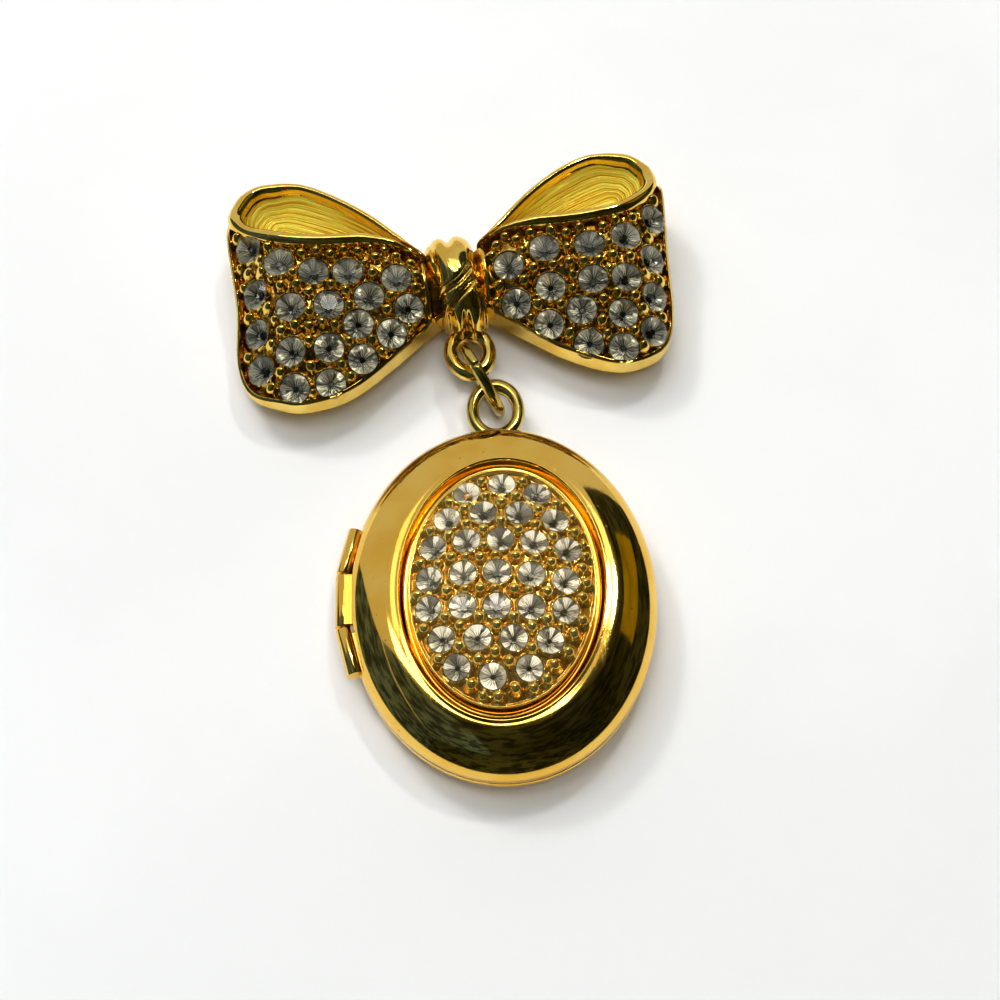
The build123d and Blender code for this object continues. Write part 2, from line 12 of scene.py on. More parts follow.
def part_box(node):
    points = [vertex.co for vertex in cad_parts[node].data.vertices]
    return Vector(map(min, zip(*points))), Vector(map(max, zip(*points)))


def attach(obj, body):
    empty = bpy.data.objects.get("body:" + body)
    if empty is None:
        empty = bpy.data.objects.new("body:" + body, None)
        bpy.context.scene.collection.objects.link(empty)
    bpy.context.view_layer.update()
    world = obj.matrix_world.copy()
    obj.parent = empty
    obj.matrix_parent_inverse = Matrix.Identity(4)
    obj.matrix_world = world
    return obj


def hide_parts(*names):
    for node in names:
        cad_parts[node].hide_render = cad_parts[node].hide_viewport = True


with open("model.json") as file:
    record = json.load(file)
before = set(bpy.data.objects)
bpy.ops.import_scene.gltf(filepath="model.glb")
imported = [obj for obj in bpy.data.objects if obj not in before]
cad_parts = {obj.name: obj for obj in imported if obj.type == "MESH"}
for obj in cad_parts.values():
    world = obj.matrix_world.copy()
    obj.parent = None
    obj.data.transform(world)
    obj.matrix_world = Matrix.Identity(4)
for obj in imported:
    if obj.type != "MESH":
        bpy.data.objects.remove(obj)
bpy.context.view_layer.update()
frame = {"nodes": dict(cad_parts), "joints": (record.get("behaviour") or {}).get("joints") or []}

# Locket back: the lower half of the locket, stamped from thin brass, gold plated and mirror polished.
# Its rim is cut back on the left for the hinge. The halves close rim to rim.
mm = 0.001


class Signal:
    """A socket's value. Python's arithmetic on it adds Math nodes."""

    def __init__(self, finish, socket):
        self.finish = finish
        self.socket = socket

    def __add__(self, other):
        return self.finish.maths("ADD", self, other)

    def __mul__(self, other):
        return self.finish.maths("MULTIPLY", self, other)

    __radd__ = __add__
    __rmul__ = __mul__


class Finish:
    """A finish under construction, round one Principled shader."""

    def __init__(self, name):
        self.material = bpy.data.materials.new(name)
        self.material.use_nodes = True
        self.tree = self.material.node_tree
        self.shader = self.tree.nodes["Principled BSDF"]

    def add(self, kind, settings, inputs, output=0):
        """Adds a node and gives one of its outputs: settings first, then the values or links of its sockets."""
        node = self.tree.nodes.new(kind)
        for key, value in settings.items():
            setattr(node, key, value)
        for key, value in inputs.items():
            self.feed(node.inputs[key], value)
        return Signal(self, node.outputs[output])

    def feed(self, socket, value):
        """Links a signal to a socket, or sets the socket to a plain value."""
        if isinstance(value, Signal):
            self.tree.links.new(value.socket, socket)
        else:
            socket.default_value = value

    def maths(self, operation, first, second):
        return self.add("ShaderNodeMath", {"operation": operation}, {0: first, 1: second})

    def place(self):
        """Where a point is on its piece."""
        return self.add("ShaderNodeTexCoord", {}, {}, "Object")

    def mark(self, name):
        """A number that the mesh carries."""
        return self.add("ShaderNodeAttribute", {"attribute_name": name}, {}, "Fac")

    def blend(self, share, low, high):
        """A colour between two colours."""
        return self.add("ShaderNodeMix", {"data_type": "RGBA"}, {0: share, 6: low, 7: high}, 2)

    def spread(self, value, low, high):
        """Stretches the range low to high to 0 to 1."""
        return self.add("ShaderNodeMapRange", {"interpolation_type": "SMOOTHSTEP"},
                        {"Value": value, "From Min": low, "From Max": high})

    def mottle(self, place, size, detail=3.0, stretch=None):
        """Cloudy noise with blotches of a real size, stretched along an axis if asked."""
        if stretch:
            place = self.add("ShaderNodeMapping", {}, {"Vector": place, "Scale": stretch})
        return self.add("ShaderNodeTexNoise", {}, {"Vector": place, "Scale": 1 / size, "Detail": detail})

    def bump(self, height, depth):
        return self.add("ShaderNodeBump", {}, {"Height": height, "Distance": depth, "Strength": 1.0})

    def done(self, inputs):
        """Fills in the shader and gives the material."""
        for key, value in inputs.items():
            self.feed(self.shader.inputs[key], value)
        return self.material


def plated_gold(name, bright, deep, shine, wear):
    """Gold plate over brass: tone that wanders, wiping marks, hairline scratches and specks of dust."""
    finish = Finish(name)
    place = finish.place()
    tone = finish.spread(finish.mottle(place, 5 * mm), 0.35, 0.65)
    wiped = finish.mottle(place, 1.5 * mm, 5.0)
    hairs = finish.spread(finish.mottle(place, 0.35 * mm, 2.0, (1.0, 0.06, 1.0)), 0.62, 0.72)
    specks = finish.spread(finish.mottle(place, 0.45 * mm, 1.0), 0.74, 0.80)
    dust = (0.30, 0.17, 0.05, 1)
    return finish.done({
        "Base Color": finish.blend(specks * wear, finish.blend(tone, bright, deep), dust),
        "Metallic": 1.0,
        "Roughness": shine + wiped * 0.05 + hairs * 0.10 * wear + specks * 0.3 * wear,
        "Normal": finish.bump(wiped + hairs * 0.15, 0.004 * mm),
    })


def make_piece(name, shape, finishes, body, stands_for, crease=None):
    """Finishes a piece: it rides on a body, has a material slot and stands for CAD nodes."""
    bmesh.ops.remove_doubles(shape, verts=shape.verts, dist=0.001 * mm)
    bmesh.ops.recalc_face_normals(shape, faces=shape.faces)
    mesh = bpy.data.meshes.new(name)
    shape.to_mesh(mesh)
    shape.free()
    mesh.shade_smooth()
    if crease is not None:
        mesh.set_sharp_from_angle(angle=radians(crease))
    for finish in finishes:
        mesh.materials.append(finish)
    piece = bpy.data.objects.new(name, mesh)
    bpy.context.collection.objects.link(piece)
    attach(piece, body)
    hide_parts(*stands_for)


def new_parts(made, kind):
    """The vertices, edges or faces among what an operator made."""
    return [part for part in made["geom"] if isinstance(part, kind)]


def oval_at(width, length, height, turn=0.0):
    """Place of a unit circle that becomes an oval."""
    return (Matrix.Translation((0, 0, height)) @ Matrix.Rotation(turn, 4, "Z")
            @ Matrix.Diagonal((width / 2, length / 2, 1, 1)))


def closed_oval(bm, places, sides=320):
    """A solid whose skin runs through ovals, closed by a flat face at each end."""
    bmesh.ops.create_circle(bm, segments=sides, radius=1, matrix=places[0])
    first = last = bm.edges[:]
    for old, new in zip(places, places[1:]):
        grown = bmesh.ops.extrude_edge_only(bm, edges=last)
        last = new_parts(grown, bmesh.types.BMEdge)
        bmesh.ops.transform(bm, matrix=new @ old.inverted(), verts=new_parts(grown, bmesh.types.BMVert))
    bmesh.ops.contextual_create(bm, geom=first)
    bmesh.ops.contextual_create(bm, geom=last)


def domed(start, end, steps, fullness):
    """Ovals, (width, length, height, turn), that curve over from start to end as a stamped dome does."""
    rows = []
    for step in range(steps + 1):
        way_in = 1 - cos(step / steps * pi / 2) ** 0.9  # rows stand closer where the dome is steep
        up = (1 - (1 - way_in) ** 2) ** (1 / fullness)
        width, length, turn = (start[k] + (end[k] - start[k]) * way_in for k in (0, 1, 3))
        rows.append(oval_at(width, length, start[2] + (end[2] - start[2]) * up, turn))
    return rows


def locket_oval(inset, height):
    """An oval along the locket's outline, inset from it."""
    return oval_at(locket_width - 2 * inset, locket_length - 2 * inset, height)


def cut_hinge_notch(bm):
    """Sets the rim's left edge back where the knuckles lie."""
    for side in (-1, 1):
        edge_y = hinge_y + side * notch_half
        for y in (edge_y - notch_step, edge_y + notch_step):
            geometry = bm.verts[:] + bm.edges[:] + bm.faces[:]
            bmesh.ops.bisect_plane(bm, geom=geometry, plane_co=(0, y, 0), plane_no=(0, 1, 0),
                                   dist=0.0005 * mm)
    for vert in bm.verts:
        away = abs(vert.co.y - hinge_y)
        slant = max(0.0, (away - half_middle) / (notch_half - half_middle))
        set_back = notch_x + slant * outer_shift
        if away < notch_half and vert.co.x < set_back:
            vert.co.x = set_back


lid_low, lid_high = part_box("locket_front")
locket_width = 2 * lid_high.x
locket_length = lid_high.y - lid_low.y
rim_height = 0.5 * mm
rim_round = 0.1 * mm
rim_bend = 0.3 * rim_round
side_wall = 0.8 * mm
plate_wall = 0.5 * mm
inner_width = locket_width - 2 * side_wall
inner_length = locket_length - 2 * side_wall
back_height = 3.0 * mm
back_shoulder = back_height - rim_height
back_fullness = 1.27
flat_width = 16.12 * mm
flat_length = 23.12 * mm
hinge_x, hinge_y, hinge_z = frame["joints"][0]["pos_m"]
knuckle = 0.65 * mm
half_middle = 2.45 * mm
knuckle_gap = 0.15 * mm
outer_knuckle = 4.2 * mm
outer_shift = 1.02 * mm
notch_room = 0.15 * mm
notch_step = 0.02 * mm
notch_half = half_middle + knuckle_gap + outer_knuckle + notch_room
notch_x = hinge_x + knuckle + notch_room
locket_gold = plated_gold("locket_gold", (0.95, 0.66, 0.17, 1), (0.90, 0.57, 0.11, 1), 0.04, 0.6)

outside = domed((locket_width, locket_length, back_shoulder, 0), (flat_width, flat_length, 0, 0),
                24, back_fullness)
inside = domed((inner_width, inner_length, back_shoulder, 0), (flat_width, flat_length, plate_wall, 0),
               20, back_fullness)
rim = [
    locket_oval(0, back_height - rim_round),
    locket_oval(rim_bend, back_height - rim_bend),
    locket_oval(rim_round, back_height),
    locket_oval(side_wall, back_height),
]
back = bmesh.new()
closed_oval(back, outside[::-1] + rim + inside)
cut_hinge_notch(back)
make_piece("back_shell", back, [locket_gold], "brooch", ["locket_back"], 35)


# Bail ring: round brass wire bent to an oval ring and soldered upright into the back half's top rim.
# The locket hangs by it from the jump ring.
def wire_ring(bm, width, length, wire, place, sweep=tau, start=0.0):
    """A ring of round wire, width by length over all. It is whole, or sweeps an angle from its start."""
    round_wire = Matrix.Translation((width / 2 - wire / 2, 0, 0)) @ Matrix.Rotation(pi / 2, 4, "X")
    matrix = Matrix.Rotation(start, 4, "Z") @ round_wire
    bmesh.ops.create_circle(bm, segments=20, radius=wire / 2, matrix=matrix)
    profile = bm.edges[:]
    whole = sweep == tau
    if not whole:
        bmesh.ops.contextual_create(bm, geom=profile)
    spun = bmesh.ops.spin(bm, geom=profile, cent=(0, 0, 0), axis=(0, 0, 1), angle=sweep, steps=96,
                          use_merge=whole)
    if not whole:
        end = [edge for edge in spun["geom_last"] if isinstance(edge, bmesh.types.BMEdge)]
        bmesh.ops.contextual_create(bm, geom=end)
    stretch = Matrix.Diagonal((1, (length - wire) / (width - wire), 1, 1))
    bmesh.ops.transform(bm, matrix=place @ stretch, verts=bm.verts)


bail_width = 5.2 * mm
bail_length = 6.4 * mm
bail_wire = 1.1 * mm
bail_sunk = 0.35 * mm
bail_y = (locket_length + bail_length) / 2 - bail_sunk
bail_place = Matrix.Translation((0, bail_y, back_height - bail_wire / 2))
# The findings' gold is a darker, olive copy of the plate: painted shade for the dark room they mirror.
finding_gold = plated_gold("finding_gold", (0.78, 0.62, 0.18, 1), (0.60, 0.46, 0.11, 1), 0.12, 0.5)
bail = bmesh.new()
wire_ring(bail, bail_width, bail_length, bail_wire, bail_place)
make_piece("bail_ring", bail, [finding_gold], "brooch", ["locket_back"])


# Hinge: three knuckles rolled from plated brass sheet on one pin, each soldered to its half by a strap.
# They follow the locket's oval, and each shows the seam where the sheet was rolled round.
def edges_of(verts):
    """The edges at some vertices, each once."""
    return list(dict.fromkeys(edge for vert in verts for edge in vert.link_edges))


def rolled_knuckle(bm, placed, place, length):
    """A knuckle along its own Z, with softened ends and a seam line down its outer side."""
    made = bmesh.ops.create_cone(bm, cap_ends=True, segments=32, radius1=knuckle, radius2=knuckle, depth=length)
    ends = [edge for edge in edges_of(made["verts"])
            if abs(edge.verts[0].co.z - edge.verts[1].co.z) < 0.01 * mm]
    bmesh.ops.bevel(bm, geom=ends, offset=knuckle_softened, affect="EDGES", segments=3, profile=0.5,
                    material=-1)
    moved = [vert for vert in bm.verts if vert not in placed]
    for vert in moved:
        if seam_from < vert.co.xy.angle_signed(Vector((1, 0)), 0) < seam_to:
            vert.co.xy *= seam_depth
    bmesh.ops.transform(bm, matrix=place, verts=moved)
    placed.update(moved)


def strap(bm, placed, middle, half_length, low, high):
    """The flat strap from a knuckle to its rim, between two heights over the knuckle's middle."""
    corner_low = middle + Vector((strap_start, -half_length, low))
    corner_high = middle + Vector((strap_end, half_length, high))
    size = corner_high - corner_low
    matrix = Matrix.Translation((corner_low + corner_high) / 2) @ Matrix.Diagonal((*size, 1))
    made = bmesh.ops.create_cube(bm, size=1, matrix=matrix)
    placed.update(made["verts"])


knuckle_softened = 0.07 * mm
seam_from, seam_to = radians(100), radians(114)
seam_depth = 0.93
strap_thickness = 0.45 * mm
strap_start = 0.1 * mm
strap_end = knuckle + 0.5 * mm
outer_tilt = radians(13.7)
outer_y = half_middle + knuckle_gap + outer_knuckle / 2
upright = Matrix.Rotation(pi / 2, 4, "X")
placed = set()
hinge_back = bmesh.new()
for side in (-1, 1):
    middle = Vector((hinge_x + outer_shift / 2, hinge_y + side * outer_y, hinge_z))
    tilted = Matrix.Translation(middle) @ (Matrix.Rotation(-side * outer_tilt, 4, "Z") @ upright)
    rolled_knuckle(hinge_back, placed, tilted, outer_knuckle / cos(outer_tilt))
    strap(hinge_back, placed, middle, 0.48 * outer_knuckle, -knuckle, strap_thickness - knuckle)
make_piece("outer_knuckles", hinge_back, [locket_gold], "brooch", ["locket_back"], 35)

placed = set()
hinge_lid = bmesh.new()
middle = Vector((hinge_x, hinge_y, hinge_z))
rolled_knuckle(hinge_lid, placed, Matrix.Translation(middle) @ upright, 2 * half_middle)
strap(hinge_lid, placed, middle, 0.95 * half_middle, knuckle - strap_thickness, knuckle)
make_piece("middle_knuckle", hinge_lid, [locket_gold], "lid", ["locket_front"], 35)
frame["nodes"]["hinge_pin"].data.materials[0] = finding_gold


# Cover: the locket's domed front half, stamped from thin brass with a sunk oval seat, plated and mirror
# polished. A rounded crest runs round the seat, which is a little off the locket's axis.
def seat_oval(outset, height):
    """An oval along the seat's edge, outset from it."""
    return oval_at(seat_width + 2 * outset, seat_length + 2 * outset, height, seat_turn)


crest = lid_high.z
parting_gap = 0.1 * mm
cover_low = back_height + parting_gap
dome_low = cover_low + rim_height
cover_fullness = 1.72
seat_turn = radians(-3.0)
seat_width = 17.2 * mm
seat_length = 24.3 * mm
crest_land = 0.25 * mm
crest_drop = 0.02 * mm
seat_profile = (  # out from the seat's edge and down from the crest, in mm
    (0.15, 0), (0.075, 0), (0.08, 0.02), (0, 0.09), (-0.08, 0.25), (-0.30, 0.68), (-0.40, 0.78), (-0.50, 0.80),
)
seat_depth = seat_profile[-1][1] * mm

under = domed((inner_width, inner_length, dome_low, 0),
              (seat_width + 2 * plate_wall, seat_length + 2 * plate_wall, crest - plate_wall, seat_turn),
              20, cover_fullness)
low_rim = [
    locket_oval(side_wall, cover_low),
    locket_oval(rim_round, cover_low),
    locket_oval(rim_bend, cover_low + rim_bend),
    locket_oval(0, cover_low + rim_round),
]
dome = domed((locket_width, locket_length, dome_low, 0),
             (seat_width + 2 * crest_land, seat_length + 2 * crest_land, crest - crest_drop, seat_turn),
             40, cover_fullness)
seat = [seat_oval(out * mm, crest - down * mm) for out, down in seat_profile]
seat_under = seat_oval(plate_wall, crest - seat_depth - plate_wall)
cover = bmesh.new()
closed_oval(cover, [seat_under] + under[::-1] + low_rim + dome + seat)
cut_hinge_notch(cover)
make_piece("cover", cover, [locket_gold], "lid", ["locket_front"], 35)


# Stones: round foil-backed glass chatons, each with a table, crown facets, girdle and pavilion.
# They sit glued in blind seats, at the places and tilts that the frame's stones have.
def loose_stones(node):
    """Middle of the girdle, axis and radius of each stone of a CAD node."""
    bm = bmesh.new()
    bm.from_mesh(frame["nodes"][node].data)
    bmesh.ops.remove_doubles(bm, verts=bm.verts, dist=0.01 * mm)
    stones, left = [], set(bm.verts)
    for seed in bm.verts:
        if seed not in left:
            continue
        left.remove(seed)
        stone = [seed]
        for vert in stone:
            near = [link.other_vert(vert) for link in vert.link_edges]
            stone.extend(other for other in near if other in left)
            left.difference_update(near)
        areas = {}
        for face in dict.fromkeys(face for vert in stone for face in vert.link_faces):
            way = tuple(round(part, 2) for part in face.normal)
            areas[way] = areas.get(way, 0) + face.calc_area()
        axis = Vector(max(areas, key=areas.get)).normalized()
        middle = sum((vert.co for vert in stone), Vector()) / len(stone)
        radius = max((vert.co - middle - axis * (vert.co - middle).dot(axis)).length for vert in stone)
        stones.append((middle + axis * girdle_above_middle * 2 * radius, axis, radius))
    bm.free()
    return stones


def shuffled(number):
    """A disorderly number from 0 to 1, always the same for the same number."""
    return (sin(number) * 43758.5) % 1


def chaton(bm, stone, turn):
    """One faceted stone. Its pavilion carries the foil, the second material. Each face stores a painted facet
    light in 'tone'.
    """
    middle, axis, radius = stone
    upright = Matrix.Translation(middle) @ axis.to_track_quat("Z", "Y").to_matrix().to_4x4()
    place = upright @ Matrix.Rotation(turn, 4, "Z")
    rings = (  # sides, turn, radius, height
        (table_sides, 0, table_share * radius, (crown_share + girdle_share) * 2 * radius),
        (table_sides, pi / 8, star_out * radius, (star_up * crown_share + girdle_share) * 2 * radius),
        (2 * facets, 0, radius, girdle_share * 2 * radius),
        (2 * facets, 0, radius, 0),
        (2 * facets, 0, shoulder_out * radius, -shoulder_down * radius),
        (facets, 0, culet_share * radius, -pavilion_share * 2 * radius),
    )
    verts = []
    for sides, offset, ring_radius, height in rings:
        matrix = place @ Matrix.Translation((0, 0, height)) @ Matrix.Rotation(offset, 4, "Z")
        made = bmesh.ops.create_circle(bm, segments=sides, radius=ring_radius, matrix=matrix)
        bmesh.ops.delete(bm, geom=edges_of(made["verts"]), context="EDGES_FACES")
        verts += made["verts"]
    hull = bmesh.ops.convex_hull(bm, input=verts)
    tone = bm.faces.layers.float["tone"]
    inner = place.inverted()
    for face in new_parts(hull, bmesh.types.BMFace):
        spot = inner @ face.calc_center_median()
        face.material_index = 1 if spot.z < foil_from * radius else 0
        sector = int(spot.to_2d().angle_signed(Vector((1, 0)), 0) / tau * facets + facets)
        at_culet = sum((inner @ vert.co).to_2d().length < culet_reach * radius for vert in face.verts) > 1
        at_shoulder = spot.to_2d().length > shoulder_reach * radius
        # painted facet light: a painted reflection of random strength on each sector, painted shade at the
        # culet and the shoulder
        lit = least_painted_facet_light + (1 - least_painted_facet_light) * shuffled(sector * 12.9 + turn * 7.7)
        face[tone] = 0 if at_culet or at_shoulder else lit


def foil_back(name, dull, bright, mirror, painted_sparkle):
    """The stone's foil, seen through its glass: each facet of the pavilion gets its own painted reflection,
    from dark to bright, and the brightest glow a little as painted sparkle.
    """
    foil = Finish(name)
    tone = foil.mark("tone")
    return foil.done({
        "Base Color": foil.blend(tone, dull, bright),
        "Metallic": mirror,
        "Roughness": 0.10,
        # painted sparkle: the brightest facets glow
        "Emission Color": foil.blend(foil.spread(tone, 0.55, 1.0), (0, 0, 0, 1), bright),
        "Emission Strength": painted_sparkle,
    })


girdle_above_middle = 0.0225
table_sides = 8
facets = 16
table_share = 0.56
crown_share = 0.15
star_out, star_up = 0.80, 0.62
girdle_share = 0.03
shoulder_out, shoulder_down = 0.90, 0.11
pavilion_share = 0.36
culet_share = 0.16
culet_reach, shoulder_reach = 0.2, 0.88
foil_from = -0.02
least_painted_facet_light = 0.35
stone_turn = 1.7
clear_glass = Finish("clear_stone").done({
    "Base Color": (0.97, 0.98, 0.97, 1),
    "Transmission Weight": 1.0,
    "IOR": 1.56,
    "Roughness": 0.0,
})
white_foil = foil_back("white_foil", (0.12, 0.10, 0.05, 1), (1.0, 0.92, 0.74, 1), 0.3, 0.80)
grey_foil = foil_back("grey_foil", (0.03, 0.03, 0.02, 1), (0.86, 0.82, 0.66, 1), 0.5, 0.15)
stone_fields = {}
for node, body, foil in (
    ("plaque_stones", "lid", white_foil),
    ("left_stones", "brooch", grey_foil),
    ("right_stones", "brooch", grey_foil),
):
    stone_fields[node] = loose_stones(node)
    field = bmesh.new()
    field.faces.layers.float.new("tone")
    for number, stone in enumerate(stone_fields[node]):
        chaton(field, stone, number * stone_turn)
    make_piece("set_" + node, field, [clear_glass, foil], body, [node], 5)


# Plaque: an oval dome cast in white metal, with its own fine rim. Round seats with thin walls hold the
# stones, and cast grains stand in the gaps. Its ground is rougher, and painted darker as shade.
def smooth(share):
    """Soft step from 0 to 1."""
    share = np.clip(share, 0, 1)
    return share * share * (3 - 2 * share)


def grain_places(points, stones, room):
    """Middles and radii of the grains: each goes where most room is left between stones, edge and grains."""
    for middle, axis, radius in stones:
        away = np.hypot(points[:, 0] - middle.x, points[:, 1] - middle.y)
        room = np.minimum(room, away - radius + grain_overlap)
    grains = []
    while room.max() > least_room:
        best = int(room.argmax())
        radius = min(room[best] + grain_bite, widest_grain)
        grains.append((Vector(points[best, :2]), radius))
        room = np.minimum(room, np.hypot(*(points[:, :2] - points[best, :2]).T) - radius - grain_spacing)
    return grains


def set_stones(points, stones, grains, wall, floor):
    """Works seats and grains into a ground: lifts and lowers its points, and gives how deep each lies."""
    heights = points[:, 2].copy()
    seat_cover, cup, collar, pull, level_sum = (np.zeros(len(points)) for _ in range(5))
    kept = np.ones(len(points))
    for middle, axis, radius in stones:
        level = middle.z - ((points[:, 0] - middle.x) * axis.x + (points[:, 1] - middle.y) * axis.y) / axis.z
        offset = np.stack([points[:, 0] - middle.x, points[:, 1] - middle.y, level - middle.z], 1)
        away = np.linalg.norm(offset, axis=1)
        near = smooth((radius + skirt - away) / skirt_fade)
        strength = near / (hairline + np.clip(away - radius, 0, None))
        pull += strength
        level_sum += strength * (level - seat_lift)
        kept *= 1 - near
        collar = np.maximum(collar, np.exp(-((away - radius - wall_out) / wall_half) ** 2))
        cover = smooth((radius - hairline - away) / seat_slope)
        seat_cover = np.maximum(seat_cover, cover)
        cup = np.maximum(cup, cover * (pavilion_share * 2 * radius + seat_clearance) / axis.z)
    heights = heights * kept + level_sum / (pull + 1e-9) * (1 - kept)
    ground = 1 - collar
    raised = wall * collar
    for middle, radius in grains:
        away = np.hypot(points[:, 0] - middle.x, points[:, 1] - middle.y)
        ball = np.sqrt(np.clip(1 - (away / radius) ** 2, 0, None))
        raised = np.maximum(raised, ball * radius * grain_height)
        ground = np.minimum(ground, smooth((away / radius - grain_foot) / grain_fade))
    sunk = heights + (raised - ground_sunk * ground) * (1 - seat_cover) - cup
    points[:, 2] = np.maximum(sunk, floor)
    return ground


def write_points(bm, points, ground):
    """Puts worked points back, with the ground's depth as an attribute that the finish reads for roughness,
    bumps and painted shade.
    """
    layer = bm.verts.layers.float.new("ground")
    for vert, point, depth in zip(bm.verts, points, ground):
        vert.co = point
        vert[layer] = depth


def cast_gold(name, bright, deep, dark, shine, metal):
    """Cast and plated gold with a tone that wanders: rougher on the ground, which is also painted darker as
    shade.
    """
    finish = Finish(name)
    place = finish.place()
    depth = finish.mark("ground")
    tone = finish.spread(finish.mottle(place, 2 * mm), 0.35, 0.65)
    pits = finish.mottle(place, 0.25 * mm, 4.0)
    # painted shade: the ground between seats and grains is darkened towards the dark colour, in cloudy patches
    painted_shade = depth * (finish.spread(finish.mottle(place, 0.8 * mm), 0.35, 0.65) * 0.5 + 0.5)
    return finish.done({
        "Base Color": finish.blend(painted_shade, finish.blend(tone, bright, deep), dark),
        "Metallic": metal,
        "Roughness": shine + depth * 0.10 + pits * 0.06,
        "Normal": finish.bump(pits * (depth * 0.85 + 0.15), 0.025 * mm),
    })


def plaque_oval(inset, height):
    """An oval along the plaque's edge, inset from it."""
    return oval_at(plaque_width - 2 * inset, plaque_length - 2 * inset, height, seat_turn)


hairline = 0.02 * mm
grain_overlap = 0.02 * mm
grain_bite = 0.04 * mm
grain_spacing = 0.30 * mm
least_room = 0.34 * mm
widest_grain = 0.52 * mm
grain_height = 1.1
grain_foot, grain_fade = 0.85, 0.5
skirt, skirt_fade = 0.9 * mm, 0.8 * mm
wall_out, wall_half = 0.06 * mm, 0.10 * mm
seat_slope = 0.12 * mm
seat_lift = 0.08 * mm
seat_clearance = 0.07 * mm
ground_sunk = 0.25 * mm
plaque_gold = cast_gold("plaque_gold", (1.0, 0.76, 0.24, 1), (0.96, 0.66, 0.16, 1), (0.60, 0.30, 0.05, 1),
                        0.08, 0.86)
plaque_width = 15.7 * mm
plaque_length = 22.3 * mm
plaque_low = crest - seat_depth + 0.05 * mm
plaque_top = plaque_low + 0.65 * mm
plaque_rim = 0.25 * mm
plaque_wall = 0.18 * mm
plaque_skin = 0.01 * mm
field_low = plaque_top - 0.15 * mm
dome_rise = 1.35 * mm
dome_steps = 85
dome_fullness = 2.1
rim_room = 0.12 * mm
rim_profile = (  # in from the edge and down from the rim's top, in mm
    (0, 0.12), (0.03, 0.03), (0.08, 0), (0.16, 0.02), (0.21, 0.08),
)

rows = [plaque_oval(0, plaque_low)]
rows += [plaque_oval(inset * mm, plaque_top - down * mm) for inset, down in rim_profile]
rows.append(plaque_oval(plaque_rim, field_low))
for step in range(1, dome_steps):
    share = step / dome_steps
    width = (plaque_width - 2 * plaque_rim) * (1 - share)
    length = (plaque_length - 2 * plaque_rim) * (1 - share)
    rows.append(oval_at(width, length, field_low + dome_rise * (1 - (1 - share) ** dome_fullness), seat_turn))
plaque = bmesh.new()
closed_oval(plaque, rows, 400)

points = np.array([vert.co[:] for vert in plaque.verts])
turned = points[:, :2] @ np.array([[cos(-seat_turn), sin(-seat_turn)], [-sin(-seat_turn), cos(-seat_turn)]])
half_width = plaque_width / 2 - plaque_rim
way_out = np.hypot(turned[:, 0] / half_width, turned[:, 1] / (plaque_length / 2 - plaque_rim))
inner = way_out < 0.9999
worked = points[inner]
room = (1 - way_out[inner]) * half_width + rim_room
stones = stone_fields["plaque_stones"]
grains = grain_places(worked, stones, room)
ground = np.zeros(len(points))
ground[inner] = set_stones(worked, stones, grains, plaque_wall, plaque_low + plaque_skin)
points[inner] = worked
write_points(plaque, points, ground)
make_piece("cast_plaque", plaque, [plaque_gold], "lid", ["plaque"])

# Jump ring: bent from plated brass wire, with a fine split at the top, through the bail and the bow's
# hanging loop. It lies slanted between them, as the locket pulls it.
jump_place = Vector((-1.13 * mm, 21.85 * mm, 3.75 * mm))
jump_normal = Vector((0.883, 0.4095, 0.235)).normalized()
jump_level = Vector((-jump_normal.y, jump_normal.x, 0)).normalized()
jump_size = 7.4 * mm
jump_wire = 1.0 * mm
split_width = 0.12 * mm
split_angle = radians(96)
split = split_width / (jump_size / 2 - jump_wire / 2)
slanted = Matrix((jump_level, jump_normal.cross(jump_level), jump_normal)).transposed().to_4x4()
jump = bmesh.new()
wire_ring(jump, jump_size, jump_size, jump_wire, Matrix.Translation(jump_place) @ slanted,
          tau - split, split_angle + split / 2)
make_piece("split_ring", jump, [finding_gold], "brooch", ["jump_ring"])

# Pin back: one plain plated piece, soldered under the bow, with its bar, hinge block, catch and stem.
# It is hidden from the front, so the CAD node stays and gets its finish.
frame["nodes"]["pin_back"].data.materials[0] = finding_gold


# Bow loops: cast in white metal in one with the bow and gold plated, each like a folded ribbon. Its front
# is set with stones between a polished border and a rolled lip. Behind the lip it is dished and brushed;
# the dish's brush streaks are painted in colour as sheen.
def table_line(table, stops):
    """A smooth curve through a table's rows, at stops counted in rows."""
    rows = np.array(table)
    before = np.clip(stops.astype(int), 0, len(rows) - 2)
    share = (stops - before)[:, None]
    slopes = np.gradient(rows, axis=0)
    start, end, slope_in, slope_out = rows[before], rows[before + 1], slopes[before], slopes[before + 1]
    bend = share * (1 - share) * ((1 - share) * slope_in - share * slope_out)
    return start + (end - start) * smooth(share) + bend


def crown(sections, x, y):
    """Height of a loop's rounded front over a place, all in the bow's own axes."""
    rows = np.array(sections)
    out = np.abs(x) / loop_reach
    stops = np.interp(out, rows[:, 0], np.arange(len(rows)))
    low, lip, back, low_rise, lip_rise, back_rise, bulge = table_line(sections, stops)[:, 1:].T
    across = np.clip((y / loop_half - low) / (lip - low), 0, None)
    arch = low_rise + (lip_rise - low_rise) * across + 4 * bulge * across * (1 - across)
    beyond = lip_rise + (back_rise - lip_rise) * np.clip((y / loop_half - lip) / (back - lip), 0, furthest_back)
    return bow_back + loop_rise * np.where(across < 1, arch, beyond)


def place_rows(table, side, first, last, count):
    """Points of a table's curve between two rows, evenly spaced in the bow's own axes."""
    fine = table_line(table, np.linspace(first, last, fine_points)) * (side * loop_reach, loop_half)
    run = np.concatenate([[0], np.cumsum(np.hypot(*np.diff(fine, axis=0).T))])
    even = np.linspace(0, run[-1], count)
    return np.stack([np.interp(even, run, fine[:, 0]), np.interp(even, run, fine[:, 1])], 1)


